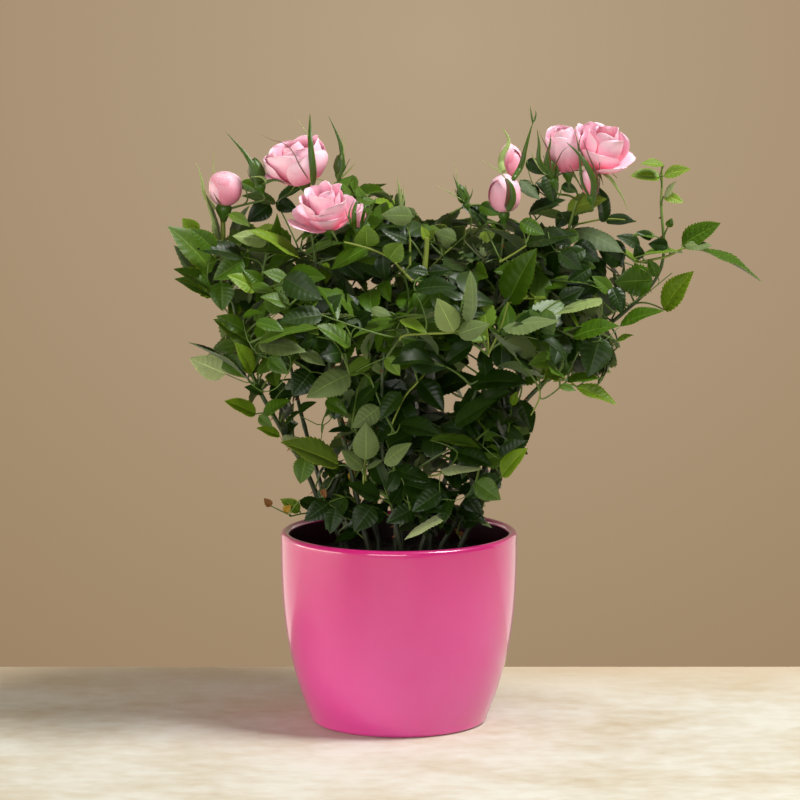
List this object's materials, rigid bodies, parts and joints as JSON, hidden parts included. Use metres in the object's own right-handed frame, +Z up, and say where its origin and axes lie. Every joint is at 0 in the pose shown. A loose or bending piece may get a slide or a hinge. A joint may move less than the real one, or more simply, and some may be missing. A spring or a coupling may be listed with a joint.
{
  "type": "potted miniature rose bush",
  "caption": "Miniature rose bush in bloom, a leafy two-sided crown on green canes, standing in a round glazed ceramic pot.",
  "frame": {"origin": "centre of the pot's flat underside", "axes": "+Z up along the pot's axis; the bush's best side faces -Y; +X to the right as seen from the front"},
  "size_m": [0.3367, 0.1852, 0.3494],
  "materials": {
    "pot_glaze": "gloss",
    "soil": "matte",
    "cane": "satin",
    "leaf": "satin",
    "petal": "matte"
  },
  "bodies": {
    "root": {"pot": "pot_glaze", "root_ball": "soil", "cane_back": "cane", "cane_back_left": "cane", "cane_back_right": "cane", "cane_front": "cane", "cane_left": "cane", "cane_left_inner": "cane", "cane_left_outer": "cane", "cane_middle": "cane", "cane_right": "cane", "cane_right_inner": "cane", "cane_right_outer": "cane", "bough_back_left_1": "cane", "bough_back_right_1": "cane", "bough_back_right_2": "cane", "bough_left_inner_1": "cane", "bough_left_inner_2": "cane", "bough_left_outer_1": "cane", "bough_left_outer_2": "cane", "bough_right_inner_1": "cane", "foliage_back": "leaf", "foliage_back_left": "leaf", "foliage_back_right": "leaf", "foliage_back_skirt": "leaf", "foliage_back_top": "leaf", "foliage_collar": "leaf", "foliage_core": "leaf", "foliage_foot_back": "leaf", "foliage_foot_left": "leaf", "foliage_foot_right": "leaf", "foliage_front": "leaf", "foliage_front_left": "leaf", "foliage_front_right": "leaf", "foliage_left_flank": "leaf", "foliage_left_shoulder": "leaf", "foliage_left_skirt": "leaf", "foliage_right_flank": "leaf", "foliage_right_shoulder": "leaf", "foliage_right_skirt": "leaf", "foliage_skirt_middle": "leaf", "foliage_top_middle": "leaf", "shoot_right": "leaf", "spray_far_right": "leaf", "bud_left": "petal", "bud_right": "petal", "flowers_left": "petal", "flowers_right": "petal"}
  },
  "joints": []
}
